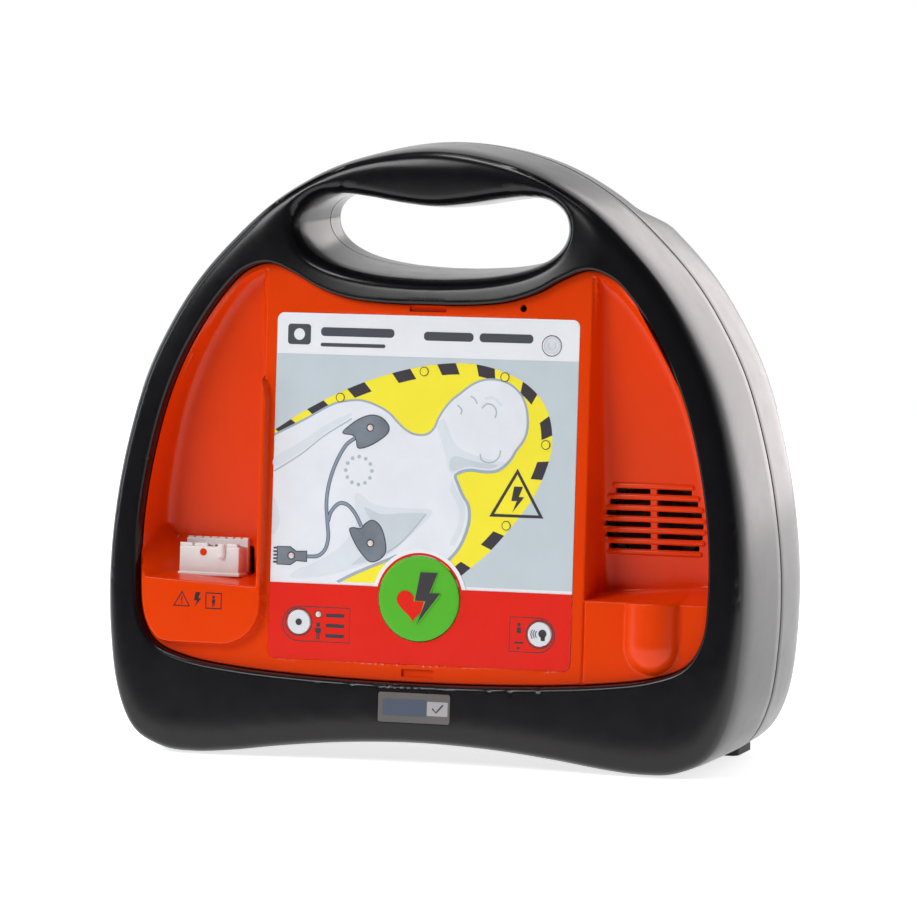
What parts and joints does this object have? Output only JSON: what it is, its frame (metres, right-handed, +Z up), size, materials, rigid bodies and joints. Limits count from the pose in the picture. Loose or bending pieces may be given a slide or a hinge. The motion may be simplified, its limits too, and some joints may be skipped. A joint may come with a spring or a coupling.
{
  "type": "automated external defibrillator",
  "caption": "Ring-handled portable defibrillator: black two-shell case, orange control panel, printed foil, round shock button and rear battery pack.",
  "frame": {"origin": "on the surface the feet stand on, under the middle of the case's box", "axes": "+X to the right of someone facing the control panel, +Y to the back, +Z up"},
  "size_m": [0.2788, 0.1, 0.252],
  "materials": {
    "shell_black": "satin moulded, fine spark texture",
    "panel_orange": "satin moulded",
    "label_print": "printed polyester foil",
    "button_green": "printed satin membrane",
    "button_grey": "printed satin membrane",
    "black_plastic": "satin",
    "black_rubber": "matte",
    "socket_white": "moulded",
    "contact_gold": "plated",
    "spring_steel": "drawn wire",
    "steel": "zinc plated",
    "magnet_steel": "sintered",
    "chassis_alloy": "pressed sheet",
    "board": "solder mask on glass-epoxy",
    "led_body": "moulded",
    "lens_clear": "tinted clear",
    "lcd_frame": "clear window, printed frame",
    "lcd_glass": "polished glass",
    "ribbon": "polyimide",
    "capacitor_sleeve": "shrink sleeve",
    "cell_sleeve": "shrink sleeve",
    "nylon": "moulded",
    "copper_wire": "enamelled copper wire",
    "lead_red": "silicone insulation"
  },
  "bodies": {
    "case": {"front_shell": "shell_black", "rear_shell": "shell_black", "case_seal": "black_rubber", "control_panel": "panel_orange", "label_foil": "label_print", "shock_spring": "spring_steel", "small_springs": "spring_steel", "keypad_board": "board", "key_switches": "black_plastic", "status_lenses": "lens_clear", "marker_lenses": "lens_clear", "status_leds": "led_body", "microphone": "black_plastic", "lid_keepers": "panel_orange", "socket_block": "socket_white", "socket_contacts": "contact_gold", "socket_key_dot": "panel_orange", "socket_leads": "lead_red", "lcd_window": "lcd_frame", "lcd_module": "lcd_glass", "display_ribbon": "ribbon", "speaker_basket": "steel", "speaker_cone": "black_plastic", "speaker_magnet": "magnet_steel", "speaker_gasket": "black_rubber", "chassis": "chassis_alloy", "main_board": "board", "board_parts": "black_plastic", "board_screws": "steel", "storage_capacitor": "capacitor_sleeve", "capacitor_strap": "nylon", "charge_transformer": "magnet_steel", "transformer_winding": "copper_wire", "discharge_relay": "nylon", "power_heatsink": "chassis_alloy", "high_voltage_leads": "lead_red", "bay_contacts": "contact_gold", "front_feet": "black_rubber", "rear_feet": "black_rubber", "shell_screws": "steel", "panel_screws": "steel"},
    "shock": {"shock_button": "button_green"},
    "child_key": {"child_button": "button_grey"},
    "info_key": {"info_button": "button_grey"},
    "power": {"power_key": "button_grey"},
    "battery": {"battery_case": "black_plastic", "battery_cells": "cell_sleeve", "battery_terminals": "contact_gold"}
  },
  "joints": [
    {"name": "shock_press", "type": "slide", "parent": "case", "child": "shock", "axis": [0, 0.996, -0.0894], "range_m": [0, 0.0012], "stiffness_N_per_m": 1200, "springref_m": -0.0005, "deforming": ["shock_spring"]},
    {"name": "child_press", "type": "slide", "parent": "case", "child": "child_key", "axis": [0, 0.996, -0.0894], "range_m": [0, 0.0008], "stiffness_N_per_m": 700, "springref_m": -0.0005, "deforming": ["small_springs"]},
    {"name": "info_press", "type": "slide", "parent": "case", "child": "info_key", "axis": [0, 0.996, -0.0894], "range_m": [0, 0.0008], "stiffness_N_per_m": 700, "springref_m": -0.0005},
    {"name": "power_press", "type": "slide", "parent": "case", "child": "power", "axis": [0, 0.996, -0.0894], "range_m": [0, 0.0006], "stiffness_N_per_m": 700, "springref_m": -0.0005},
    {"name": "battery_slide", "type": "slide", "parent": "case", "child": "battery", "axis": [0, 1, 0], "range_m": [0, 0.06]}
  ]
}
